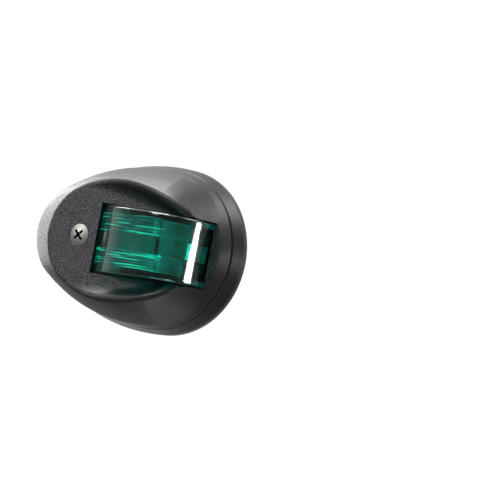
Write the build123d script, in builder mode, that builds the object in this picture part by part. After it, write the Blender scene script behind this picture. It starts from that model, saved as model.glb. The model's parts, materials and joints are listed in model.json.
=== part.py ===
"""Starboard navigation light for the side of a boat: an egg-shaped housing with a green wrap-round lens.

Frame: +X points forward (the fat end), +Z up and -Y outboard. The hull's surface is the plane Y = 0.
A "height" here is a distance outboard of the hull, so Plane.XZ.offset(height) holds the plan outlines,
with local axes X and Z. All sizes are in millimetres.
"""

import math
import os

from build123d import *

os.makedirs("parts", exist_ok=True)

# ---------------------------------------------------------------- driving dimensions
LENGTH = 88.0  # base, along X
FORE_RADIUS = 30.0  # of the base outline's fat end
AFT_RADIUS = 20.0  # of its narrow end
FLANK_RADIUS = 78.0  # of the long arcs that join them

GASKET_THICKNESS = 1.5
GASKET_RECESS = 1.0  # depth that the gasket sits in the base's back
BACK = GASKET_THICKNESS - GASKET_RECESS  # height of the base's back rim
FLOOR_TOP = 3.2  # inside floor of the base
RIM_HEIGHT = 2.8  # height of the base's widest outline
BASE_TOP = 7.9
SEAM_GAP = 0.9  # shadow line between base and cover
COVER_BOTTOM = BASE_TOP + SEAM_GAP
SEAM_INSET = 1.45  # the seam outline lies this far inside the base outline
TONGUE_TOP = 10.4
RIM_SEAL_INSET = 2.7
TONGUE_OUTER_INSET = 3.7
TONGUE_INNER_INSET = 4.7

SHOULDER = 12.0  # height where the cover's skirt turns into the dome
SHOULDER_EDGE = 3.0  # rounding there
CREST = 35.0  # height where the dome's laws close
CREST_X = 20.0
DOME_TOP = 33.0  # the loft stops here, inside the window
COVER_WALL = 2.2

SCOOP_FLOOR = 18.0  # flat, parallel to the hull
SCOOP_HALF_WIDTH = 20.0  # at its widest, which is open to the stern
SCOOP_WIDEST_X = -20.0
SCOOP_FLANK_RADIUS = 122.0
SCOOP_END_X = 31.0  # under the lens
SCOOP_DRAFT = 26.0  # degrees
SCOOP_CORNER = 4.5  # fillet between floor and walls
SCOOP_RIM = 1.8  # rounding of its edge

WINDOW_AFT_X = -10.0
WINDOW_AFT_HALF = 12.8
WINDOW_FORE_HALF = 11.85
WINDOW_FORE_X = 38.0
WINDOW_SILL = 14.0  # height of the window's forward edge
LENS_GAP = 0.25
LENS_WALL = 2.2
LENS_EDGE = 0.8  # rounding of its outer edges
LENS_AFT_X = -9.4
LENS_NOSE_X = 36.9
PRISM_DEPTH = 0.7
PRISM_PITCH = 1.05
PRISM_FLANK = 0.85  # width of a prism's long side
PRISMS_FROM = 3.0  # half height of the smooth band between the prisms
PRISMS = 6  # on each side of it

FLANGE_BOTTOM = 11.0
FLANGE_THICKNESS = 1.5
FLANGE_INSET = 0.2  # inside the seat's outline
LENS_GASKET_THICKNESS = 1.0
SEAT_TOP = FLANGE_BOTTOM - LENS_GASKET_THICKNESS
SEAT_AFT_X = -12.8
SEAT_FORE_X = LENS_NOSE_X
SEAT_HALF_WIDTH = 14.6
SEAT_WALL = 2.2
SEAT_CORNERS = (5.0, 2.5)  # radii of its outline fore and aft
SEAT_INNER_CORNERS = (2.8, 1.0)

SCREW_X = -17.7  # cover screw, on the centre line
SCREW_HEAD_RADIUS = 4.0
SCREW_RADIUS = 2.0
SCREW_TIP = 5.4  # height of the screw's inner end
BOSS_TOP = 13.0
SCREW_SEAL_THICKNESS = 1.0
SCREW_RING_THICKNESS = 0.7
BOSS_RADIUS = 4.6

HULL_SCREW_X = 9.0
HULL_SCREW_SPACING = 43.0
HULL_HOLE_RADIUS = 2.2
HULL_HOLE_CLEARANCE = 0.3  # of the gasket's holes
HULL_COLLAR_RADIUS = 3.9
HULL_COLLAR_HEIGHT = 1.6

GROMMET_X, GROMMET_Z = -3.0, 7.2
GROMMET_BORE = 2.0
GROMMET_NECK = 3.4
GROMMET_INNER_LIP = 4.0
GROMMET_FLANGE = 4.8
GROMMET_LIP = 1.2  # thickness of both lips
GROMMET_CLEARANCE = 0.6  # round its flange, in the gasket

# The circuit board leans so that it faces the middle of the light's 112.5 degree arc.
ARC_OF_LIGHT = 112.5
BOARD_TURN = 90.0 - ARC_OF_LIGHT / 2  # from straight outboard, towards the bow
EMITTER_X, EMITTER_HEIGHT = 29.5, 12.0  # board face under the foremost emitters
BOARD_THICKNESS = 1.6
BOARD_HALF_WIDTH = 7.0
BOARD_AFT, BOARD_FORE = -17.4, 3.6  # ends along the slope, from the emitters
BRACKET_HALF_WIDTH = 8.0
BRACKET_THICKNESS = 2.0
BRACKET_FOOT = 5.2  # height of the aft foot's underside
BRACKET_SPOTS = ((9.3, 4.5), (9.3, -4.5))  # its two screws
BRACKET_BOSS_RADIUS = 2.6
BRACKET_SCREW_RADIUS = 1.3
BRACKET_PILOT_DEPTH = 2.8
BRACKET_SCREW_LENGTH = 4.6
BOARD_SPOTS = ((-14.6, 4.9), (-14.6, -4.9))  # the board's screws, along the slope and across it
BOARD_SCREW_RADIUS = 1.0
BOARD_SCREW_LENGTH = 4.4


# ---------------------------------------------------------------- outlines
def at(height):
    """The plan plane at a height: local x is X, local y is Z."""
    return Plane.XZ.offset(height)


def flank_radius(length, aft, fore, half_width):
    """Radius of the arc that touches both end circles and reaches half_width."""
    centres = length - aft - fore
    low, high = half_width, 5000.0
    for _ in range(80):
        middle = (low + high) / 2
        reach = math.sqrt(max(0.0, (half_width - fore) * (2 * middle - fore - half_width)))
        reach += math.sqrt(max(0.0, (half_width - aft) * (2 * middle - aft - half_width)))
        low, high = (middle, high) if reach < centres else (low, middle)
    return (low + high) / 2


def egg_line(x_aft, x_fore, aft, fore, flank):
    """The four tangent arcs of an egg, as edges in the current BuildLine."""
    x_a, x_f = x_aft + aft, x_fore - fore
    far_a, far_f, centres = flank - aft, flank - fore, x_f - x_a
    along = (far_a**2 - far_f**2 + centres**2) / (2 * centres)
    down = math.sqrt(far_a**2 - along**2)
    x_c = x_a + along
    turn_f = math.degrees(math.atan2(down, x_f - x_c))
    turn_a = math.degrees(math.atan2(down, x_a - x_c))
    CenterArc((x_f, 0), fore, -turn_f, 2 * turn_f)
    CenterArc((x_c, -down), flank, turn_f, turn_a - turn_f)
    CenterArc((x_a, 0), aft, turn_a, 360 - 2 * turn_a)
    CenterArc((x_c, down), flank, -turn_a, turn_a - turn_f)


def base_egg(height, inset):
    """The base outline, moved inwards by inset, as a face at a height."""
    with BuildSketch(at(height)) as outline:
        with BuildLine():
            egg_line(
                -LENGTH / 2 + inset,
                LENGTH / 2 - inset,
                AFT_RADIUS - inset,
                FORE_RADIUS - inset,
                FLANK_RADIUS - inset,
            )
        make_face()
    return outline.sketch


def dome_egg(height, thickness=0.0):
    """The dome's section at a height, or that of its inside surface for a wall of that thickness."""
    level = height + 0.72 * thickness
    rise = (level - SHOULDER) / (CREST - SHOULDER)
    inset = 0.72 * thickness
    nose = 23.47 * math.sqrt(1 - ((level + 2) / (CREST + 2)) ** 2)
    half_width = 28.0 * (1 - rise) ** 0.40 - inset
    x_fore = CREST_X + nose - inset
    x_aft = CREST_X - 62.0 * (1 - rise) ** 0.61 + inset
    fore = 0.975 * half_width
    aft = half_width * (0.64 + 0.26 * math.sqrt(rise))
    fore = min(fore, 0.5 * (x_fore - x_aft) * 0.96)
    flank = flank_radius(x_fore - x_aft, aft, fore, half_width)
    with BuildSketch(at(height)) as outline:
        with BuildLine():
            egg_line(x_aft, x_fore, aft, fore, flank)
        make_face()
    return outline.sketch


def slab(face, height):
    """A solid from a face, thickened outboard by height."""
    return extrude(face, amount=height, dir=(0, -1, 0), mode=Mode.PRIVATE)


def plan_rectangle(height, x_aft, x_fore, half_width, corners):
    """A rounded rectangle in plan, with its own corner radii fore and aft."""
    with BuildSketch(at(height)) as outline:
        with Locations(((x_aft + x_fore) / 2, 0)):
            Rectangle(x_fore - x_aft, 2 * half_width)
        fillet(outline.vertices().group_by(Axis.X)[-1], radius=corners[0])
        fillet(outline.vertices().group_by(Axis.X)[0], radius=corners[1])
    return outline.sketch


def seat_ring(height, thickness):
    """The wall that the lens seals on, or its gasket: the same ring at another height."""
    outer = plan_rectangle(height, SEAT_AFT_X, SEAT_FORE_X, SEAT_HALF_WIDTH, SEAT_CORNERS)
    inner = plan_rectangle(
        height,
        SEAT_AFT_X + SEAT_WALL,
        SEAT_FORE_X - SEAT_WALL,
        SEAT_HALF_WIDTH - SEAT_WALL,
        SEAT_INNER_CORNERS,
    )
    return slab(outer, thickness) - slab(inner, thickness)


def discs(height, spots, radius, hole=0.0):
    """Equal circles or rings in plan, one at each spot."""
    with BuildSketch(at(height)) as outline:
        with Locations(*spots):
            Circle(radius)
            if hole:
                Circle(hole, mode=Mode.SUBTRACT)
    return outline.sketch


def lens_profile(inset=0.0):
    """The lens's side view in the X-height plane, down to the flange, as a face moved inwards by inset."""
    with BuildLine(mode=Mode.PRIVATE):
        crown = Spline(
            (LENS_AFT_X, 17.0),
            (3.0, 24.3),
            (15.0, 29.8),
            (25.0, 32.4),
            (32.2, 29.6),
            (35.8, 21.5),
            (LENS_NOSE_X, 12.0),
        )
    points = []
    for k in range(13):
        place, along = crown @ (k / 12), crown % (k / 12)
        points.append((place.X + along.Y * inset, place.Y - along.X * inset))
    with BuildSketch(Plane.XY) as outline:
        with BuildLine():
            Spline(*points)
            foot_fore, foot_aft = (points[-1][0], FLANGE_BOTTOM), (points[0][0], FLANGE_BOTTOM)
            Polyline(points[-1], foot_fore, foot_aft, points[0])
        make_face()
    return outline.sketch


def stood_up(face, z_low, z_high):
    """A face in the X-height plane, turned upright (height to -Y) and thickened from z_low to z_high."""
    upright = Plane(origin=(0, 0, z_high), x_dir=(1, 0, 0), z_dir=(0, 0, -1)) * face
    return extrude(upright, amount=z_high - z_low, dir=(0, 0, -1), mode=Mode.PRIVATE)


def window_prism(low, high, gap, x_aft, x_fore, draft=0.0):
    """The window's tapered plan, made smaller by gap and stood between two heights."""
    slope = (WINDOW_FORE_HALF - WINDOW_AFT_HALF) / (WINDOW_FORE_X - WINDOW_AFT_X)
    aft, fore = (WINDOW_AFT_HALF + slope * (x - WINDOW_AFT_X) - gap for x in (x_aft, x_fore))
    with BuildSketch(at(low)) as outline:
        with BuildLine():
            Polyline((x_aft, -aft), (x_fore, -fore), (x_fore, fore), (x_aft, aft), close=True)
        make_face()
    return extrude(outline.sketch, amount=high - low, dir=(0, -1, 0), taper=draft, mode=Mode.PRIVATE)


def board_plane(along=0.0, across=0.0, lift=0.0):
    """A plane on the circuit board: x runs forward down the slope, y is up, z points out of the board."""
    turn = math.radians(BOARD_TURN)
    down = Vector(math.cos(turn), math.sin(turn), 0)
    out = Vector(math.sin(turn), -math.cos(turn), 0)
    origin = Vector(EMITTER_X, -EMITTER_HEIGHT, 0) + down * along + out * lift
    return Plane(origin=origin + Vector(0, 0, across), x_dir=down, z_dir=out)


def save(builder, name):
    builder.part.label = name
    export_step(builder.part, f"parts/{name}.step")


# ---------------------------------------------------------------- mounting gasket
GASKET_INSET = 3.0
HULL_SPOTS = [(HULL_SCREW_X, side * HULL_SCREW_SPACING / 2) for side in (-1, 1)]
GROMMET_SPOT = (GROMMET_X, GROMMET_Z)
SCREW_SPOT = (SCREW_X, 0)
with BuildPart() as mounting_gasket:
    add(slab(base_egg(0, GASKET_INSET), GASKET_THICKNESS))
    holes = slab(discs(0, HULL_SPOTS, HULL_HOLE_RADIUS + HULL_HOLE_CLEARANCE), GASKET_THICKNESS)
    add(holes, mode=Mode.SUBTRACT)
    window = slab(discs(0, [GROMMET_SPOT], GROMMET_FLANGE + GROMMET_CLEARANCE), GASKET_THICKNESS)
    add(window, mode=Mode.SUBTRACT)
save(mounting_gasket, "mounting_gasket")


# ---------------------------------------------------------------- base
INSERT_RADIUS = 2.8
INSERT_LENGTH = 7.6
INSERT_SPACE = 0.4  # left under the insert
BACK_EDGE, SIDE_EDGE, TOP_EDGE = 0.5, 2.0, 0.4  # roundings of the base's outside


def edges_at(builder, height):
    """The edges that lie at a height."""
    return builder.edges().filter_by_position(Axis.Y, -height - 0.01, -height + 0.01)


with BuildPart() as base:
    add(slab(base_egg(BACK, 0), RIM_HEIGHT - BACK))
    loft([base_egg(RIM_HEIGHT, 0).face(), base_egg(BASE_TOP, SEAM_INSET).face()], ruled=True)
    fillet(edges_at(base, RIM_HEIGHT), radius=SIDE_EDGE)
    fillet(edges_at(base, BACK), radius=BACK_EDGE)
    fillet(edges_at(base, BASE_TOP), radius=TOP_EDGE)
    add(slab(base_egg(BASE_TOP, TONGUE_OUTER_INSET), TONGUE_TOP - BASE_TOP))
    add(slab(base_egg(FLOOR_TOP, TONGUE_INNER_INSET), TONGUE_TOP - FLOOR_TOP), mode=Mode.SUBTRACT)
    add(slab(base_egg(BACK, GASKET_INSET - 0.2), GASKET_RECESS), mode=Mode.SUBTRACT)
    add(seat_ring(FLOOR_TOP, SEAT_TOP - FLOOR_TOP))
    # a boss for the cover screw's insert, a collar round each hull screw and two bosses for the bracket
    add(slab(discs(FLOOR_TOP, [SCREW_SPOT], BOSS_RADIUS), BOSS_TOP - FLOOR_TOP))
    add(slab(discs(FLOOR_TOP, HULL_SPOTS, HULL_COLLAR_RADIUS), HULL_COLLAR_HEIGHT))
    add(slab(discs(FLOOR_TOP, BRACKET_SPOTS, BRACKET_BOSS_RADIUS), BRACKET_FOOT - FLOOR_TOP))
    pilots = discs(BRACKET_FOOT - BRACKET_PILOT_DEPTH, BRACKET_SPOTS, BRACKET_SCREW_RADIUS + 0.02)
    add(slab(pilots, BRACKET_PILOT_DEPTH), mode=Mode.SUBTRACT)
    through = FLOOR_TOP + HULL_COLLAR_HEIGHT
    add(slab(discs(BACK, HULL_SPOTS, HULL_HOLE_RADIUS), through), mode=Mode.SUBTRACT)
    add(slab(discs(BACK, [GROMMET_SPOT], GROMMET_NECK), through), mode=Mode.SUBTRACT)
    insert_hole = discs(BOSS_TOP - INSERT_LENGTH - INSERT_SPACE, [SCREW_SPOT], INSERT_RADIUS)
    add(slab(insert_hole, INSERT_LENGTH + INSERT_SPACE), mode=Mode.SUBTRACT)
save(base, "base")


# ---------------------------------------------------------------- seals
with BuildPart() as rim_seal:
    add(slab(base_egg(BASE_TOP, RIM_SEAL_INSET), SEAM_GAP))
    add(slab(base_egg(BASE_TOP, TONGUE_OUTER_INSET), SEAM_GAP), mode=Mode.SUBTRACT)
save(rim_seal, "rim_seal")

with BuildPart() as lens_gasket:
    add(seat_ring(SEAT_TOP, LENS_GASKET_THICKNESS))
save(lens_gasket, "lens_gasket")

with BuildPart() as cable_grommet:
    recess_top = BACK + GASKET_RECESS
    add(slab(discs(recess_top - GROMMET_LIP, [GROMMET_SPOT], GROMMET_FLANGE), GROMMET_LIP))
    add(slab(discs(recess_top, [GROMMET_SPOT], GROMMET_NECK), FLOOR_TOP - recess_top))
    add(slab(discs(FLOOR_TOP, [GROMMET_SPOT], GROMMET_INNER_LIP), GROMMET_LIP))
    fillet(cable_grommet.edges().group_by(Axis.Y)[0], radius=0.5)
    add(slab(discs(0, [GROMMET_SPOT], GROMMET_BORE), FLOOR_TOP + 2), mode=Mode.SUBTRACT)
save(cable_grommet, "cable_grommet")


# ---------------------------------------------------------------- cover and lens
CAVITY_BOTTOM = COVER_BOTTOM - 1
CAVITY_STEP = 10.6
CAVITY_INSET = 3.5
BEAD_THICKNESS = 0.3
FLANGE_TOP = FLANGE_BOTTOM + FLANGE_THICKNESS
FRAME_BOTTOM = FLANGE_TOP + BEAD_THICKNESS
FRAME_AFT_X, FRAME_HALF_WIDTH = -12.2, 14.0
POST_BOTTOM = BOSS_TOP + SCREW_SEAL_THICKNESS
HEAD_TOP = SCOOP_FLOOR - 0.1
HEAD_HEIGHT = SCREW_HEAD_RADIUS - SCREW_RADIUS
RING_TOP = HEAD_TOP - HEAD_HEIGHT
RING_RADIUS = SCREW_RADIUS + 0.9
SCREW_CLEARANCE = 0.15
HEAD_CLEARANCE = 0.3


def scoop_tool(grow):
    """What the hollow behind the lens takes out of the dome, moved outwards by grow."""
    radius = SCOOP_FLANK_RADIUS + grow
    centre_z = SCOOP_FLANK_RADIUS - SCOOP_HALF_WIDTH
    half_width = SCOOP_HALF_WIDTH + grow
    x_end = SCOOP_END_X + grow
    turn = math.degrees(math.acos((x_end - SCOOP_WIDEST_X) / radius))
    with BuildPart() as tool:
        with BuildSketch(at(SCOOP_FLOOR - grow)):
            with BuildLine():
                upper = CenterArc((SCOOP_WIDEST_X, -centre_z), radius, turn, 90 - turn)
                lower = CenterArc((SCOOP_WIDEST_X, centre_z), radius, -90, 90 - turn)
                corners = [(SCOOP_WIDEST_X, half_width), (-60, half_width)]
                Polyline(*corners, *[(x, -z) for x, z in reversed(corners)])
                Line(upper @ 0, lower @ 1)
            make_face()
        extrude(amount=25, taper=-SCOOP_DRAFT)
        bottom = tool.faces().sort_by(Axis.Y)[-1]
        flanks = bottom.edges().filter_by(lambda e: abs(e.center().Z) > 2)
        fillet(flanks, radius=SCOOP_CORNER + grow)
    return tool.part


SCOOP, SCOOP_INSIDE = scoop_tool(0), scoop_tool(COVER_WALL)

with BuildPart() as cavity:
    add(slab(base_egg(CAVITY_BOTTOM, CAVITY_INSET), CAVITY_STEP - CAVITY_BOTTOM))
    inner_levels = [CAVITY_STEP + (DOME_TOP - 2 - CAVITY_STEP) * k / 5 for k in range(6)]
    loft([dome_egg(level, COVER_WALL).face() for level in inner_levels])
    add(SCOOP_INSIDE, mode=Mode.SUBTRACT)
    # frame round the window, that presses on the lens's flange
    with BuildSketch(at(FRAME_BOTTOM)):
        with Locations(((FRAME_AFT_X + LENGTH) / 2, 0)):
            Rectangle(LENGTH - FRAME_AFT_X, 2 * FRAME_HALF_WIDTH)
    extrude(amount=CREST, mode=Mode.SUBTRACT)
    add(slab(discs(POST_BOTTOM, [SCREW_SPOT], BOSS_RADIUS), CREST), mode=Mode.SUBTRACT)

with BuildPart() as cover:
    loft([base_egg(COVER_BOTTOM, SEAM_INSET).face(), dome_egg(SHOULDER).face()], ruled=True)
    outer_levels = [SHOULDER + (DOME_TOP - SHOULDER) * k / 6 for k in range(7)]
    loft([dome_egg(level).face() for level in outer_levels])
    fillet(edges_at(cover, SHOULDER), radius=SHOULDER_EDGE)
    dome_faces = cover.faces()
    add(SCOOP, mode=Mode.SUBTRACT)
    rim = []
    for edge in cover.edges(Select.NEW):
        middle = Vertex(edge @ 0.5)
        if middle.X < SCOOP_END_X - 1 and min(face.distance_to(middle) for face in dome_faces) < 0.01:
            rim.append(edge)
    fillet(rim, radius=SCOOP_RIM)
    add(cavity.part, mode=Mode.SUBTRACT)
    add(
        window_prism(FRAME_BOTTOM - 3, 45, 0, WINDOW_AFT_X, LENS_NOSE_X + LENS_GAP),
        mode=Mode.SUBTRACT,
    )
    add(window_prism(WINDOW_SILL, 45, 0, 20, 60), mode=Mode.SUBTRACT)
    # countersunk hole for the cover screw
    add(slab(discs(POST_BOTTOM, [SCREW_SPOT], SCREW_RADIUS + SCREW_CLEARANCE), 10), mode=Mode.SUBTRACT)
    ring_seat = discs(RING_TOP - SCREW_RING_THICKNESS, [SCREW_SPOT], RING_RADIUS + 0.1)
    add(slab(ring_seat, 10), mode=Mode.SUBTRACT)
    with BuildSketch(at(SCOOP_FLOOR)):
        with Locations(SCREW_SPOT):
            Circle(SCREW_HEAD_RADIUS + HEAD_CLEARANCE)
    extrude(amount=-HEAD_HEIGHT - 0.1, taper=45, mode=Mode.SUBTRACT)
save(cover, "cover")

with BuildPart() as lens:
    add(stood_up(lens_profile(), -20, 20))
    add(
        window_prism(FLANGE_BOTTOM, 45, LENS_GAP, -15, 45, draft=1.0),
        mode=Mode.INTERSECT,
    )
    outer_edges = lens.faces().filter_by(lambda f: abs(f.center().Z) > 8).edges()
    outer_edges = outer_edges.filter_by(lambda e: e.center().Y < -FLANGE_BOTTOM - 0.5)
    fillet(outer_edges, radius=LENS_EDGE)
    aft, half = SEAT_AFT_X + FLANGE_INSET, SEAT_HALF_WIDTH - FLANGE_INSET
    flange = plan_rectangle(FLANGE_BOTTOM, aft, SEAT_FORE_X, half, SEAT_CORNERS)
    add(slab(flange, FLANGE_THICKNESS))
    inside_half = WINDOW_FORE_HALF - LENS_GAP - LENS_WALL
    # the inside is smooth at the middle and has horizontal prisms above and below
    steps = [(0.0, LENS_WALL)]
    for k in range(PRISMS):
        start = PRISMS_FROM + k * PRISM_PITCH
        steps += [(start, LENS_WALL), (start + PRISM_FLANK, LENS_WALL - PRISM_DEPTH)]
    steps.append((inside_half, LENS_WALL))
    steps = [(-z, wall) for z, wall in reversed(steps[1:])] + steps[1:]
    sections = []
    for z, wall in steps:
        sections.append(stood_up(lens_profile(wall), z - 0.01, z).faces().sort_by(Axis.Z)[-1])
    loft(sections, ruled=True, mode=Mode.SUBTRACT)
save(lens, "lens")


# ---------------------------------------------------------------- cover screw, its ring, seal and insert
THREAD_GAP = 0.05
SCREW_POINT = 0.5  # chamfer of its inner end
HEAD_RISE = 0.7  # of its domed top
RECESS_LENGTH, RECESS_WIDTH, RECESS_DEPTH = 4.6, 1.0, 2.2
with BuildPart() as cover_screw:
    add(slab(discs(SCREW_TIP, [SCREW_SPOT], SCREW_RADIUS), RING_TOP - SCREW_TIP))
    chamfer(cover_screw.edges().group_by(Axis.Y)[-1], length=SCREW_POINT)
    with BuildSketch(at(HEAD_TOP)):
        with Locations(SCREW_SPOT):
            Circle(SCREW_HEAD_RADIUS)
    extrude(amount=-HEAD_HEIGHT, taper=45)
    with BuildSketch(Plane.XY):
        with BuildLine():
            Line((SCREW_X, -HEAD_TOP - HEAD_RISE), (SCREW_X, -HEAD_TOP))
            Line((SCREW_X, -HEAD_TOP), (SCREW_X + SCREW_HEAD_RADIUS, -HEAD_TOP))
            curve = (SCREW_HEAD_RADIUS**2 + HEAD_RISE**2) / (2 * HEAD_RISE)
            half_turn = math.degrees(math.asin(SCREW_HEAD_RADIUS / curve))
            CenterArc((SCREW_X, -HEAD_TOP - HEAD_RISE + curve), curve, -90, half_turn)
        make_face()
    revolve(axis=Axis((SCREW_X, 0, 0), (0, 1, 0)))
    for angle in (45, 135):
        with BuildSketch(at(HEAD_TOP + HEAD_RISE)):
            with Locations(SCREW_SPOT):
                Rectangle(RECESS_LENGTH, RECESS_WIDTH, rotation=angle)
        extrude(amount=-RECESS_DEPTH, mode=Mode.SUBTRACT)
save(cover_screw, "cover_screw")

with BuildPart() as screw_ring:
    bottom = RING_TOP - SCREW_RING_THICKNESS
    add(slab(discs(bottom, [SCREW_SPOT], RING_RADIUS, SCREW_RADIUS + THREAD_GAP), SCREW_RING_THICKNESS))
save(screw_ring, "screw_ring")

with BuildPart() as screw_seal:
    add(slab(discs(BOSS_TOP, [SCREW_SPOT], BOSS_RADIUS - 0.3, SCREW_RADIUS + 0.1), SCREW_SEAL_THICKNESS))
save(screw_seal, "screw_seal")

with BuildPart() as cover_insert:
    bottom = BOSS_TOP - INSERT_LENGTH
    add(slab(discs(bottom, [SCREW_SPOT], INSERT_RADIUS, SCREW_RADIUS + THREAD_GAP), INSERT_LENGTH))
save(cover_insert, "cover_insert")

BEAD_FORE_X = 33.0
with BuildPart() as lens_bead:
    with BuildSketch(at(FLANGE_TOP)):
        with Locations(((FRAME_AFT_X + BEAD_FORE_X) / 2, 0)):
            Rectangle(BEAD_FORE_X - FRAME_AFT_X, 2 * FRAME_HALF_WIDTH - 0.4)
    extrude(amount=BEAD_THICKNESS)
    add(window_prism(FLANGE_TOP, FLANGE_TOP + 1, -0.2, WINDOW_AFT_X - 0.2, 50), mode=Mode.SUBTRACT)
save(lens_bead, "lens_bead")


# ---------------------------------------------------------------- lamp unit
BRACKET_FOOT_AFT_X = 6.0
SLOPE = math.tan(math.radians(BOARD_TURN))
ALONG = math.cos(math.radians(BOARD_TURN))  # of a length on the slope, its part along X
BOARD_BACK = board_plane(lift=-BOARD_THICKNESS).origin
BRACKET_BACK = board_plane(lift=-BOARD_THICKNESS - BRACKET_THICKNESS).origin


def height_on(origin, x):
    """The height at x on the slope through a point."""
    return -origin.Y - (x - origin.X) * SLOPE


with BuildPart() as led_bracket:
    fore_x = BOARD_BACK.X + BOARD_FORE * ALONG
    tip_x = BOARD_BACK.X + BOARD_AFT * ALONG
    aft_x = BRACKET_BACK.X + BOARD_AFT * ALONG
    leg_x, nose_x = aft_x + BRACKET_THICKNESS, fore_x - BRACKET_THICKNESS
    strip = [
        (fore_x, FLOOR_TOP),
        (fore_x, height_on(BOARD_BACK, fore_x)),
        (tip_x, height_on(BOARD_BACK, tip_x)),
        (aft_x, height_on(BRACKET_BACK, aft_x)),
        (aft_x, BRACKET_FOOT + BRACKET_THICKNESS),
        (BRACKET_FOOT_AFT_X, BRACKET_FOOT + BRACKET_THICKNESS),
        (BRACKET_FOOT_AFT_X, BRACKET_FOOT),
        (leg_x, BRACKET_FOOT),
        (leg_x, height_on(BRACKET_BACK, leg_x)),
        (nose_x, height_on(BRACKET_BACK, nose_x)),
        (nose_x, FLOOR_TOP),
    ]
    with BuildSketch(Plane.XY):
        with BuildLine():
            Polyline(*[(x, -height) for x, height in strip], close=True)
        make_face()
    extrude(amount=BRACKET_HALF_WIDTH, both=True)
    with BuildSketch(board_plane()):
        with Locations(*BOARD_SPOTS):
            Circle(BOARD_SCREW_RADIUS + 0.02)
    extrude(amount=-6, mode=Mode.SUBTRACT)
    add(slab(discs(FLOOR_TOP, BRACKET_SPOTS, BRACKET_SCREW_RADIUS + 0.2), 6), mode=Mode.SUBTRACT)
save(led_bracket, "led_bracket")

SCREW_HEADS = {"bracket": (2.3, 1.4), "board": (1.9, 1.3)}  # radius and height
SCREW_SLOTS = {"bracket": (2.4, 0.6, 0.8), "board": (2.0, 0.5, 0.7)}  # length, width and depth of each cut

with BuildPart() as bracket_screws:
    foot_top = BRACKET_FOOT + BRACKET_THICKNESS
    radius, height = SCREW_HEADS["bracket"]
    length, width, depth = SCREW_SLOTS["bracket"]
    add(slab(discs(foot_top, BRACKET_SPOTS, radius), height))
    fillet(bracket_screws.edges().group_by(Axis.Y)[0], radius=0.6)
    shanks = discs(foot_top - BRACKET_SCREW_LENGTH, BRACKET_SPOTS, BRACKET_SCREW_RADIUS)
    add(slab(shanks, BRACKET_SCREW_LENGTH))
    for angle in (0, 90):
        with BuildSketch(at(foot_top + height)):
            with Locations(*BRACKET_SPOTS):
                Rectangle(length, width, rotation=angle)
        extrude(amount=-depth, mode=Mode.SUBTRACT)
save(bracket_screws, "bracket_screws")

with BuildPart() as led_board:
    with BuildSketch(board_plane(lift=-BOARD_THICKNESS)):
        with Locations(((BOARD_AFT + BOARD_FORE) / 2, 0)):
            RectangleRounded(BOARD_FORE - BOARD_AFT, 2 * BOARD_HALF_WIDTH, radius=1.5)
        with Locations(*BOARD_SPOTS):
            Circle(BOARD_SCREW_RADIUS + 0.1, mode=Mode.SUBTRACT)
    extrude(amount=BOARD_THICKNESS)
save(led_board, "led_board")

with BuildPart() as board_screws:
    radius, height = SCREW_HEADS["board"]
    length, width, depth = SCREW_SLOTS["board"]
    with BuildSketch(board_plane()):
        with Locations(*BOARD_SPOTS):
            Circle(radius)
    extrude(amount=height)
    with BuildSketch(board_plane()):
        with Locations(*BOARD_SPOTS):
            Circle(BOARD_SCREW_RADIUS)
    extrude(amount=-BOARD_SCREW_LENGTH)
    for angle in (0, 90):
        with BuildSketch(board_plane(lift=height)):
            with Locations(*BOARD_SPOTS):
                Rectangle(length, width, rotation=angle)
        extrude(amount=-depth, mode=Mode.SUBTRACT)
save(board_screws, "board_screws")

LED_SIZE = 3.5
LED_HEIGHT = 1.0
LED_FLOOR = 0.4  # thickness under the phosphor
PHOSPHOR_RADIUS = 1.25
PHOSPHOR_THICKNESS = 0.7
LED_SPOTS = [(0, 2.9), (0, -2.9), (-6.2, 2.9), (-6.2, -2.9)]
with BuildPart() as led_packages:
    with BuildSketch(board_plane()):
        with Locations(*LED_SPOTS):
            Rectangle(LED_SIZE, LED_SIZE)
            Circle(PHOSPHOR_RADIUS, mode=Mode.SUBTRACT)
    extrude(amount=LED_HEIGHT)
    with BuildSketch(board_plane()):
        with Locations(*LED_SPOTS):
            Rectangle(LED_SIZE, LED_SIZE)
    extrude(amount=LED_FLOOR)
save(led_packages, "led_packages")

with BuildPart() as led_phosphor:
    with BuildSketch(board_plane(lift=LED_FLOOR)):
        with Locations(*LED_SPOTS):
            Circle(PHOSPHOR_RADIUS)
    extrude(amount=PHOSPHOR_THICKNESS)
save(led_phosphor, "led_phosphor")


def chip_parts(name, spots, length, width, height, end):
    """Small two-ended chips: the body node, and a node of its metal ends."""
    with BuildPart() as body:
        with BuildSketch(board_plane()):
            with Locations(*spots):
                Rectangle(width, length - 2 * end)
        extrude(amount=height)
    save(body, name)
    with BuildPart() as ends:
        with BuildSketch(board_plane()):
            with Locations(*spots):
                with GridLocations(0, length - end, 1, 2):
                    Rectangle(width, end)
        extrude(amount=height)
    save(ends, name + "_ends")


chip_parts("resistors", [(-9.6, 4.8), (-9.6, -4.8)], 3.2, 1.6, 0.6, 0.5)
chip_parts("diode", [(2.4, 0)], 2.4, 1.2, 0.9, 0.4)

CHIP_ALONG = -11.6
with BuildPart() as driver_chip:
    with BuildSketch(board_plane(lift=0.1)):
        with Locations((CHIP_ALONG, 0)):
            Rectangle(5.0, 4.0)
    extrude(amount=1.3)
    chamfer(driver_chip.faces().filter_by(board_plane()).sort_by(Axis.Y)[0].edges(), length=0.25)
save(driver_chip, "driver_chip")

with BuildPart() as driver_legs:
    with BuildSketch(board_plane()):
        with Locations((CHIP_ALONG, 0)):
            with GridLocations(1.27, 4.9, 4, 2):
                Rectangle(0.4, 0.9)
    extrude(amount=0.3)
save(driver_legs, "driver_legs")

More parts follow.
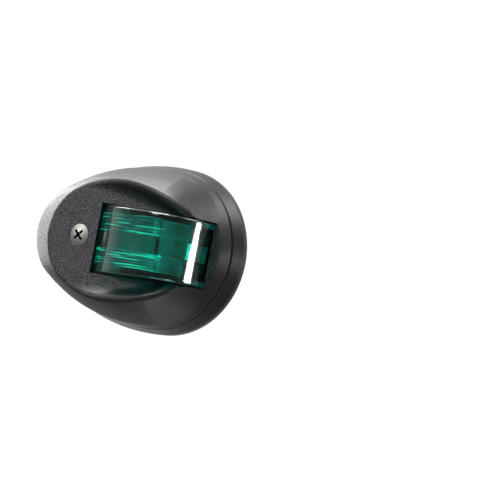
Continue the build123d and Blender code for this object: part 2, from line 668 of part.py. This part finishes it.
# white plate that hides the board's small parts, with a hole round each emitter
REFLECTOR_LIFT, REFLECTOR_THICKNESS = 1.6, 0.8
REFLECTOR_AFT, REFLECTOR_FORE, REFLECTOR_HALF_WIDTH = -13.0, 3.4, 8.4
REFLECTOR_HOLE = 1.9
REFLECTOR_LEGS = ((-3.1, 6.0), (-3.1, -6.0), (-12.2, 6.2), (-12.2, -6.2))
with BuildPart() as reflector:
    with BuildSketch(board_plane(lift=REFLECTOR_LIFT)):
        with Locations(((REFLECTOR_AFT + REFLECTOR_FORE) / 2, 0)):
            RectangleRounded(REFLECTOR_FORE - REFLECTOR_AFT, 2 * REFLECTOR_HALF_WIDTH, radius=1.2)
        with Locations(*LED_SPOTS):
            Circle(REFLECTOR_HOLE, mode=Mode.SUBTRACT)
    extrude(amount=REFLECTOR_THICKNESS)
    with BuildSketch(board_plane()):
        with Locations(*REFLECTOR_LEGS):
            Circle(0.7)
    extrude(amount=REFLECTOR_LIFT)
save(reflector, "reflector")


# ---------------------------------------------------------------- wiring
BLOCK_X, BLOCK_Z = -3.6, -4.4
BLOCK_LONG, BLOCK_WIDE, BLOCK_HIGH = 9.6, 7.6, 5.6
POLES = ((BLOCK_X - 2.3, BLOCK_Z), (BLOCK_X + 2.3, BLOCK_Z))
POLE_FLOOR = 1.2
WIRE_HEIGHT = FLOOR_TOP + 2.6
CLAMP_HEIGHT = 2.8
CLAMP_SCREW_RADIUS, CLAMP_SCREW_HEIGHT = 1.5, 1.2
with BuildPart() as terminal_block:
    with BuildSketch(at(FLOOR_TOP)):
        with Locations((BLOCK_X, BLOCK_Z)):
            RectangleRounded(BLOCK_LONG, BLOCK_WIDE, radius=0.6)
    extrude(amount=BLOCK_HIGH)
    with BuildSketch(at(FLOOR_TOP + POLE_FLOOR)):
        with Locations(*POLES):
            Rectangle(3.4, 3.6)
    extrude(amount=BLOCK_HIGH, mode=Mode.SUBTRACT)
    with BuildSketch(Plane.XY.offset(BLOCK_Z)):
        with Locations(*[(x, -WIRE_HEIGHT) for x, _ in POLES]):
            Circle(1.1)
    extrude(amount=6, mode=Mode.SUBTRACT)
save(terminal_block, "terminal_block")

with BuildPart() as terminal_clamps:
    with BuildSketch(at(FLOOR_TOP + POLE_FLOOR)):
        with Locations(*POLES):
            Rectangle(3.2, 3.4)
    extrude(amount=CLAMP_HEIGHT)
    with BuildSketch(Plane.XY.offset(BLOCK_Z)):
        with Locations(*[(x, -WIRE_HEIGHT) for x, _ in POLES]):
            Circle(1.0)
    extrude(amount=6, mode=Mode.SUBTRACT)
save(terminal_clamps, "terminal_clamps")

with BuildPart() as terminal_screws:
    clamp_top = FLOOR_TOP + POLE_FLOOR + CLAMP_HEIGHT
    add(slab(discs(clamp_top, POLES, CLAMP_SCREW_RADIUS), CLAMP_SCREW_HEIGHT))
    with BuildSketch(at(clamp_top + CLAMP_SCREW_HEIGHT)):
        with Locations(*POLES):
            Rectangle(3.2, 0.5)
    extrude(amount=-0.6, mode=Mode.SUBTRACT)
save(terminal_screws, "terminal_screws")

GUARD_TOP, GUARD_THICKNESS = 10.4, 1.2
GUARD_FORE_X, GUARD_HALF_WIDTH = 5.4, 12.0
GUARD_CORNERS = (2.0, 2.7)
GUARD_LEGS = ((-8.2, 10.2), (-8.2, -10.2), (3.8, 10.2), (3.8, -10.2))
GUARD_LEG_RADIUS = 1.2
with BuildPart() as wiring_guard:
    bottom = GUARD_TOP - GUARD_THICKNESS
    aft_x = SEAT_AFT_X + SEAT_WALL + 0.3
    plate = plan_rectangle(bottom, aft_x, GUARD_FORE_X, GUARD_HALF_WIDTH, GUARD_CORNERS)
    add(slab(plate, GUARD_THICKNESS))
    add(slab(discs(FLOOR_TOP, GUARD_LEGS, GUARD_LEG_RADIUS), bottom - FLOOR_TOP))
save(wiring_guard, "wiring_guard")
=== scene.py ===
"""Starboard side navigation light on a white ground."""

import json
import math

import bpy
from mathutils import Matrix, Vector


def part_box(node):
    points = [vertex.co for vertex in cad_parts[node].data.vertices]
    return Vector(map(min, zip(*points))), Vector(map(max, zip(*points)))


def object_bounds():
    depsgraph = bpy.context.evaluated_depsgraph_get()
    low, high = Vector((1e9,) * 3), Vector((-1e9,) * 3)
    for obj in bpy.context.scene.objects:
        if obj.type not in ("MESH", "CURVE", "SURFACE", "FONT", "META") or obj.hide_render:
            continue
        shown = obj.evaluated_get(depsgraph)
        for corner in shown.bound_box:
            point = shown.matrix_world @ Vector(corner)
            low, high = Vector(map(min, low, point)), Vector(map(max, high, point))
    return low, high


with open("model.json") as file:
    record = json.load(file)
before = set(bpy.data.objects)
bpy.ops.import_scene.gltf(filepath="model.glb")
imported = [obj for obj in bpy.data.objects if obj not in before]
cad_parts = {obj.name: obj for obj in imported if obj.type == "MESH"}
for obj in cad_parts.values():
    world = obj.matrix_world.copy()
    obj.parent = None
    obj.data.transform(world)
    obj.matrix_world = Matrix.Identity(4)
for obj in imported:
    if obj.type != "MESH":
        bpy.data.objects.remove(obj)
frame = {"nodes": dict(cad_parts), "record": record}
CAD_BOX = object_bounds()
NODES = frame["nodes"]
scene = bpy.context.scene

# sizes and places in metres, in the row frame: outboard is -Y
COVER_ERODED_TO = 0.019  # height up to which the cover's outboard faces are fully coarse
BASE_ERODED_TO = 0.0  # so the base's are partly coarse within the fade of the hull, and fine above
ERODED_FADE = 0.003  # height over which coarse turns to fine
ERODED_FACING = (-0.97, -0.72)  # normal's Y where the coarse texture is full, and where it is gone
RECESS_RADIUS = (0.0023, 0.0026)  # the screw's driver recess: painted shade is full inside, and gone outside
RECESS_DEPTH = (0.00028, 0.0009)  # painted shade starts under the head's face, and is full at the bottom
PRISM_ZONE = (0.0030, 0.0092)  # the lens's painted glint lines lie between these distances from its middle
PRISM_FORE = 0.029  # and aft of this X
ZONE_FADE = (0.0003, 0.0006)  # widths over which they come in, and go out again
FORE_FADE = (0.002, 0.001)  # they fade from this far aft of that X to this far fore of it
ERODED_DEPTH, BASE_ERODED_DEPTH, FINE_DEPTH = 1.5e-4, 4.0e-5, 1.3e-5  # relief of the black plastics

# noise
NOISE_LOW, NOISE_HIGH = 0.3, 0.7  # most of a noise texture lies between these
ERODED_GRAIN = 2300.0  # scale of the black plastics' grain and pits
MOULDED_MOTTLE, METAL_MOTTLE = 25, 12  # how much coarser than its grain a surface's mottling is
LINE_STRETCH = (45, 45, 2000)  # draws the lens's noise out into painted glint lines across Z


# ---------------------------------------------------------------- node helpers
def material(name):
    """A new material with only a Principled shader and its output."""
    mat = bpy.data.materials.new(name)
    mat.use_nodes = True
    tree = mat.node_tree
    return mat, tree, tree.nodes["Principled BSDF"]


def add(tree, kind, **settings):
    """A new node, with each setting put on the input or the property of that name."""
    node = tree.nodes.new(kind)
    for key, value in settings.items():
        if key in node.inputs:
            node.inputs[key].default_value = value
        else:
            setattr(node, key, value)
    return node


def calculate(tree, operation, *values):
    """The result of a math node on outputs or numbers."""
    node = add(tree, "ShaderNodeMath", operation=operation)
    for socket, value in zip(node.inputs, values):
        if isinstance(value, bpy.types.NodeSocket):
            tree.links.new(value, socket)
        else:
            socket.default_value = value
    return node.outputs["Value"]


def coordinates(tree, kind="Object"):
    return add(tree, "ShaderNodeTexCoord").outputs[kind]


def axes(tree, vector):
    """The X, Y and Z outputs of a vector."""
    node = add(tree, "ShaderNodeSeparateXYZ")
    tree.links.new(vector, node.inputs["Vector"])
    return node.outputs


def object_coords(tree, stretch=(1, 1, 1)):
    """Object coordinates in metres, scaled along each axis."""
    mapping = add(tree, "ShaderNodeMapping", Scale=stretch)
    tree.links.new(coordinates(tree), mapping.inputs["Vector"])
    return mapping.outputs["Vector"]


def noise(tree, vector, scale, detail=2.0, rough=0.5):
    node = add(tree, "ShaderNodeTexNoise", Scale=scale, Detail=detail, Roughness=rough)
    tree.links.new(vector, node.inputs["Vector"])
    return node.outputs["Fac"]


def remap(tree, value, low, high, from_low=NOISE_LOW, from_high=NOISE_HIGH):
    """A value mapped from one range to another, and kept inside it."""
    node = add(tree, "ShaderNodeMapRange")
    ranges = {"From Min": from_low, "From Max": from_high, "To Min": low, "To Max": high}
    for key, number in ranges.items():
        node.inputs[key].default_value = number
    tree.links.new(value, node.inputs["Value"])
    return node.outputs["Result"]


def ramp(tree, value, stops):
    """Colours along a value, from (place, colour) stops."""
    node = add(tree, "ShaderNodeValToRGB")
    band = node.color_ramp
    while len(band.elements) < len(stops):
        band.elements.new(0.5)
    for element, (place, colour) in zip(band.elements, stops):
        element.position = place
        element.color = (*colour, 1)
    tree.links.new(value, node.inputs["Fac"])
    return node.outputs["Color"]


def blend_colours(tree, factor, first):
    """A colour mix with no second colour yet: that is its input 7, and its result is output 2."""
    node = add(tree, "ShaderNodeMix", data_type="RGBA")
    tree.links.new(factor, node.inputs["Factor"])
    tree.links.new(first, node.inputs[6])
    return node


def bump(tree, height, distance, strength=1.0):
    """A bump node of that height in metres."""
    node = add(tree, "ShaderNodeBump", Strength=strength, Distance=distance)
    tree.links.new(height, node.inputs["Height"])
    return node


def switch_shaders(tree, ray, usual, on_that_ray, output):
    """One shader for rays of a kind, and another for all the rest."""
    path, mix = add(tree, "ShaderNodeLightPath"), add(tree, "ShaderNodeMixShader")
    tree.links.new(path.outputs[ray], mix.inputs["Fac"])
    tree.links.new(usual, mix.inputs[1])
    tree.links.new(on_that_ray, mix.inputs[2])
    tree.links.new(mix.outputs["Shader"], tree.nodes[output].inputs["Surface"])


# ---------------------------------------------------------------- kinds of surface
def moulded(name, dark, light, roughness, grain, depth, specular=0.5):
    """Moulded plastic or rubber: slight mottling, fine grain, and gloss that varies."""
    mat, tree, shader = material(name)
    vector = object_coords(tree)
    fine, coarse = noise(tree, vector, grain, 3.0, 0.6), noise(tree, vector, grain / MOULDED_MOTTLE)
    tree.links.new(ramp(tree, coarse, [(NOISE_LOW, dark), (NOISE_HIGH, light)]), shader.inputs["Base Color"])
    tree.links.new(remap(tree, coarse, roughness - 0.04, roughness + 0.05), shader.inputs["Roughness"])
    shader.inputs["Specular IOR Level"].default_value = specular
    tree.links.new(bump(tree, fine, depth).outputs["Normal"], shader.inputs["Normal"])
    return mat


def eroded_plastic(name, dark, light, roughness, depth, coarse_to):
    """Black plastic: finely matt, and coarsely eroded on faces straight outboard up to a height."""
    mat, tree, shader = material(name)
    vector = object_coords(tree)
    outboard = remap(tree, axes(tree, coordinates(tree, "Normal"))["Y"], 1.0, 0.0, *ERODED_FACING)
    place = axes(tree, coordinates(tree))["Y"]
    below = remap(tree, place, 0.0, 1.0, -coarse_to - ERODED_FADE, -coarse_to)
    coarse = calculate(tree, "MULTIPLY", outboard, below)
    grain, mottle = noise(tree, vector, ERODED_GRAIN, 2.0, 0.6), noise(tree, vector, 45.0, 3.0)

    sparkle = blend_colours(tree, coarse, ramp(tree, grain, [(0.25, dark), (0.75, light)]))
    specks = ramp(tree, grain, [(0.46, dark), (0.60, [3.0 * value for value in light])])
    tree.links.new(specks, sparkle.inputs[7])
    tree.links.new(sparkle.outputs[2], shader.inputs["Base Color"])

    gloss = remap(tree, grain, roughness - 0.05, roughness + 0.06)
    uneven = remap(tree, mottle, -0.02, 0.03)
    tree.links.new(calculate(tree, "ADD", gloss, uneven), shader.inputs["Roughness"])

    pits = add(tree, "ShaderNodeTexVoronoi", feature="SMOOTH_F1", Scale=ERODED_GRAIN, Smoothness=0.4)
    tree.links.new(vector, pits.inputs["Vector"])
    pitted = bump(tree, pits.outputs["Distance"], depth)
    tree.links.new(calculate(tree, "MULTIPLY", coarse, depth), pitted.inputs["Distance"])
    tree.links.new(bump(tree, grain, FINE_DEPTH).outputs["Normal"], pitted.inputs["Normal"])
    tree.links.new(pitted.outputs["Normal"], shader.inputs["Normal"])
    return mat


def metal(name, dark, light, roughness, scratch=(1, 1, 1), grain=2500.0, depth=2e-6):
    """Bare metal with fine grain, drawn out across the axes that scratch scales up."""
    mat, tree, shader = material(name)
    vector = object_coords(tree, scratch)
    fine, coarse = noise(tree, vector, grain, 3.0, 0.6), noise(tree, vector, grain / METAL_MOTTLE)
    tree.links.new(ramp(tree, coarse, [(NOISE_LOW, dark), (NOISE_HIGH, light)]), shader.inputs["Base Color"])
    tree.links.new(remap(tree, fine, roughness - 0.03, roughness + 0.04), shader.inputs["Roughness"])
    shader.inputs["Metallic"].default_value = 1.0
    tree.links.new(bump(tree, fine, depth).outputs["Normal"], shader.inputs["Normal"])
    return mat


def screw_steel(name, node):
    """Satin steel, with painted shade in the driver recess at the middle of that screw's head."""
    mat = metal(name, (0.36, 0.342, 0.315), (0.46, 0.438, 0.405), 0.46)
    tree, shader = mat.node_tree, mat.node_tree.nodes["Principled BSDF"]
    low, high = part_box(node)
    offset = add(tree, "ShaderNodeVectorMath", operation="SUBTRACT")
    offset.inputs[1].default_value = ((low.x + high.x) / 2, low.y, (low.z + high.z) / 2)
    tree.links.new(coordinates(tree), offset.inputs[0])
    from_head = axes(tree, offset.outputs["Vector"])
    squares = [calculate(tree, "MULTIPLY", from_head[axis], from_head[axis]) for axis in "XZ"]
    radius = calculate(tree, "SQRT", calculate(tree, "ADD", *squares))
    inside = remap(tree, radius, 1.0, 0.0, *RECESS_RADIUS)
    deep = remap(tree, from_head["Y"], 0.0, 1.0, *RECESS_DEPTH)
    steel = shader.inputs["Base Color"].links[0].from_socket
    # painted shade: the driver recess is coloured dark, darkest at its bottom, as if in shadow
    painted_recess_shade = blend_colours(tree, calculate(tree, "MULTIPLY", inside, deep), steel)
    painted_recess_shade.inputs[7].default_value = (0.035, 0.026, 0.02, 1)
    tree.links.new(painted_recess_shade.outputs[2], shader.inputs["Base Color"])
    return mat


def clear_plastic(name, colour, painted_glint_colour, zone, fore):
    """Tinted clear plastic, glossy, with painted glint lines along its prisms at |z| in a zone, aft of fore.
    """
    mat, tree, shader = material(name)
    vector = object_coords(tree)
    shader.inputs["IOR"].default_value = 1.36
    shader.inputs["Specular IOR Level"].default_value = 0.1
    shader.inputs["Coat Weight"].default_value = 1.0
    shader.inputs["Coat Roughness"].default_value = 0.012
    flow = noise(tree, vector, 90.0, 1.0)
    tree.links.new(remap(tree, flow, 0.09, 0.13), shader.inputs["Roughness"])
    tree.links.new(bump(tree, flow, 4e-5, 0.25).outputs["Normal"], shader.inputs["Normal"])

    # painted glints: the prisms' edges are painted bright on the lens's outer faces, where noise drawn out
    # along X and Y is high
    place = axes(tree, coordinates(tree))
    level = calculate(tree, "ABSOLUTE", place["Z"])
    drawn_out = noise(tree, object_coords(tree, LINE_STRETCH), 1.0)
    painted_glint_mask = remap(tree, drawn_out, 0.08, 0.9, from_low=0.54, from_high=0.66)
    limits = (
        remap(tree, level, 0.0, 1.0, zone[0] - ZONE_FADE[0], zone[0]),
        remap(tree, level, 1.0, 0.0, zone[1], zone[1] + ZONE_FADE[1]),
        remap(tree, place["X"], 1.0, 0.0, fore - FORE_FADE[0], fore + FORE_FADE[1]),
        remap(tree, add(tree, "ShaderNodeNewGeometry").outputs["Backfacing"], 1.0, 0.0, 0.0, 1.0),
    )
    for limit in limits:
        painted_glint_mask = calculate(tree, "MULTIPLY", painted_glint_mask, limit)
    # along the painted glint lines the base colour turns to the bright glint colour and transmission drops
    tree.links.new(ramp(tree, painted_glint_mask, [(0.0, colour), (1.0, painted_glint_colour)]), shader.inputs["Base Color"])
    tree.links.new(remap(tree, painted_glint_mask, 1.0, 0.1, 0.0, 1.0), shader.inputs["Transmission Weight"])

    # light passes through to the lamp unit, tinted
    tint = (*[value**0.85 for value in colour], 1)
    through = add(tree, "ShaderNodeBsdfTransparent", Color=tint)
    shaders = shader.outputs["BSDF"], through.outputs["BSDF"]
    switch_shaders(tree, "Is Shadow Ray", *shaders, "Material Output")
    return mat


# ---------------------------------------------------------------- finishes
black_plastic = (0.006, 0.006, 0.008), (0.024, 0.024, 0.028), 0.40, ERODED_DEPTH, COVER_ERODED_TO
base_plastic = (0.006,) * 3, (0.020,) * 3, 0.38, BASE_ERODED_DEPTH, BASE_ERODED_TO
# the lens: its tint, then its painted glint colour, then the glints' zone and fore limit
green_lens = (0.0005, 0.40, 0.345), (0.008, 0.90, 0.48), PRISM_ZONE, PRISM_FORE
FINISH = {
    "black_plastic": eroded_plastic("black_plastic", *black_plastic),
    "base_plastic": eroded_plastic("base_plastic", *base_plastic),
    "green_lens": clear_plastic("green_lens", *green_lens),
    "black_rubber": moulded("black_rubber", (0.012,) * 3, (0.02,) * 3, 0.62, 3000.0, 1e-5, 0.4),
    "foam_rubber": moulded("foam_rubber", (0.014,) * 3, (0.03,) * 3, 0.9, 1800.0, 1.2e-4, 0.2),
    "bead": moulded("bead", (0.35,) * 3, (0.45,) * 3, 0.4, 900.0, 2e-5),
    "stainless": metal("stainless", (0.60, 0.585, 0.55), (0.76, 0.745, 0.71), 0.26),
    "brass": metal("brass", (0.62, 0.44, 0.18), (0.78, 0.58, 0.28), 0.3, (1, 6, 1)),
    "aluminium": metal("aluminium", (0.66, 0.66, 0.67), (0.8, 0.8, 0.81), 0.34, (1, 1, 8)),
    "board": moulded("board", (0.72, 0.74, 0.72), (0.8, 0.81, 0.79), 0.3, 1200.0, 6e-6),
    "led_body": moulded("led_body", (0.74, 0.74, 0.72), (0.82, 0.82, 0.8), 0.35, 2500.0, 4e-6),
    "phosphor": moulded("phosphor", (0.78, 0.72, 0.30), (0.88, 0.82, 0.40), 0.22, 3000.0, 5e-6),
    "chip_black": moulded("chip_black", (0.015,) * 3, (0.025,) * 3, 0.5, 5000.0, 1e-5),
    "tin": metal("tin", (0.6, 0.6, 0.59), (0.75, 0.75, 0.74), 0.25),
    "nylon": moulded("nylon", (0.66, 0.66, 0.62), (0.74, 0.74, 0.7), 0.42, 1800.0, 1e-5),
    "white_plastic": moulded("white_plastic", (0.74, 0.74, 0.73), (0.8, 0.8, 0.79), 0.28, 1800.0, 5e-6),
}

OWN_FINISH = {"cover_screw": screw_steel("cover_screw_steel", "cover_screw")}
for entry in frame["record"]["subparts"]:
    for slot in NODES[entry["node"]].material_slots:
        slot.material = OWN_FINISH.get(entry["node"], FINISH[entry["material_slot"]])


# ---------------------------------------------------------------- ground and room
def mesh_object(name, points, faces):
    mesh = bpy.data.meshes.new(name)
    mesh.from_pydata([Vector(p) for p in points], [], faces)
    obj = bpy.data.objects.new(name, mesh)
    scene.collection.objects.link(obj)
    return obj


scene.view_settings.view_transform = "Standard"
FLOOR_DROP, FLOOR_HALF = 0.55, 0.22
floor_z = CAD_BOX[0].z - FLOOR_DROP
corners = [(sx * FLOOR_HALF, sy * FLOOR_HALF, floor_z) for sx, sy in ((-1, -1), (1, -1), (1, 1), (-1, 1))]
floor = mesh_object("floor", corners, [(0, 1, 2, 3)])
floor.data.materials.append(moulded("floor_paper", (0.80,) * 3, (0.83,) * 3, 0.8, 400.0, 1e-5, 0.1))

# the room is dim, with white paper behind the object on the side of its narrow end
PAPER_TOWARDS = (-0.33, 0.88, 0.35)
ROOM_STRENGTH, PAPER_STRENGTH, SEEN_STRENGTH = 0.12, 0.95, 1.05
world = bpy.data.worlds.new("studio")
scene.world = world
world.use_nodes = True
tree = world.node_tree
sky = tree.nodes["Background"]
sky.inputs["Color"].default_value = (1, 1, 1, 1)
towards = add(tree, "ShaderNodeVectorMath", operation="DOT_PRODUCT")
towards.inputs[1].default_value = PAPER_TOWARDS
tree.links.new(coordinates(tree, "Generated"), towards.inputs[0])
strength = remap(tree, towards.outputs["Value"], ROOM_STRENGTH, PAPER_STRENGTH, 0.30, 0.60)
tree.links.new(strength, sky.inputs["Strength"])
seen = add(tree, "ShaderNodeBackground", Color=(1, 1, 1, 1), Strength=SEEN_STRENGTH)
backgrounds = sky.outputs["Background"], seen.outputs["Background"]
switch_shaders(tree, "Is Camera Ray", *backgrounds, "World Output")


# ---------------------------------------------------------------- lights
def softbox(name, place, target, size, power):
    lamp = bpy.data.lights.new(name, "AREA")
    lamp.shape = "RECTANGLE"
    lamp.size, lamp.size_y = size
    lamp.energy = power
    obj = bpy.data.objects.new(name, lamp)
    scene.collection.objects.link(obj)
    obj.location = place
    obj.rotation_mode = "QUATERNION"
    obj.rotation_quaternion = (Vector(target) - Vector(place)).to_track_quat("-Z", "Y")


LIT_POINT = (0, -0.01, 0)
SOFTBOXES = {  # place, width and height in metres, and power in watts
    "softbox_left": ((-0.90, 0.33, 0.18), (0.26, 0.74), 6.0),
    "softbox_top": ((-0.42, -0.14, 0.86), (0.8, 0.6), 17.0),
    "softbox_low": ((-0.68, -0.92, 0.30), (0.5, 0.24), 4.2),
    "softbox_bow": ((0.05, -0.62, 0.82), (0.9, 0.6), 4.0),
    "softbox_back": ((0.45, 0.42, 0.85), (0.4, 0.4), 3.5),
    "softbox_foot": ((0.6, -0.40, -0.5), (0.4, 0.3), 1.8),
}
for name, (place, size, power) in SOFTBOXES.items():
    softbox(name, place, LIT_POINT, size, power)

# a bright card, wider at its foot, whose reflection is the streak on the lens's corner
CARD_PLACE, CARD_LOW, CARD_HIGH = Vector((0.82, 0.50, 0)), -0.005, 0.07
CARD_NEAR, CARD_FAR_HIGH, CARD_FAR_LOW = -0.035, 0.030, 0.15  # its sides, to each side of its place
CARD_STRENGTH = 30.0
across = CARD_PLACE.cross(Vector((0, 0, 1))).normalized()
edges = (
    (CARD_NEAR, CARD_HIGH),
    (CARD_FAR_HIGH, CARD_HIGH),
    (CARD_FAR_LOW, CARD_LOW),
    (CARD_NEAR, CARD_LOW),
)
card_points = [CARD_PLACE + across * a + Vector((0, 0, z)) for a, z in edges]
card = mesh_object("streak_card", card_points, [(0, 1, 2, 3)])
glow = bpy.data.materials.new("card_glow")
glow.use_nodes = True
glow_tree = glow.node_tree
glow_tree.nodes.remove(glow_tree.nodes["Principled BSDF"])
lit = add(glow_tree, "ShaderNodeEmission", Strength=CARD_STRENGTH)
glow_tree.links.new(lit.outputs["Emission"], glow_tree.nodes["Material Output"].inputs["Surface"])
card.data.materials.append(glow)
card.visible_camera = False

# ---------------------------------------------------------------- camera
AZIMUTH, ELEVATION, ROLL = math.radians(35.93), math.radians(-1.85), math.radians(10.74)
DISTANCE = 0.9  # camera to origin
LENS, SENSOR = 178.848, 36.0  # in millimetres
AIM_RIGHT, AIM_DOWN = 0.037366, 0.000786  # the point aimed at, from the origin across the picture
flat = Vector((math.sin(AZIMUTH), -math.cos(AZIMUTH), 0))
back = flat * math.cos(ELEVATION) + Vector((0, 0, math.sin(ELEVATION)))
level = Vector((math.cos(AZIMUTH), math.sin(AZIMUTH), 0))
upright = back.cross(level)
right = level * math.cos(ROLL) + upright * math.sin(ROLL)
up = upright * math.cos(ROLL) - level * math.sin(ROLL)
aim = right * AIM_RIGHT - up * AIM_DOWN
eye = back * DISTANCE
away = (eye - aim).normalized()
side = up.cross(away).normalized()
turn = Matrix((side, away.cross(side), away)).transposed().to_4x4()
camera_data = bpy.data.cameras.new("camera")
camera_data.sensor_width = SENSOR
camera_data.lens = LENS
camera_data.clip_start, camera_data.clip_end = 0.01, 20.0
camera = bpy.data.objects.new("camera", camera_data)
scene.collection.objects.link(camera)
camera.matrix_world = Matrix.Translation(eye) @ turn
scene.camera = camera
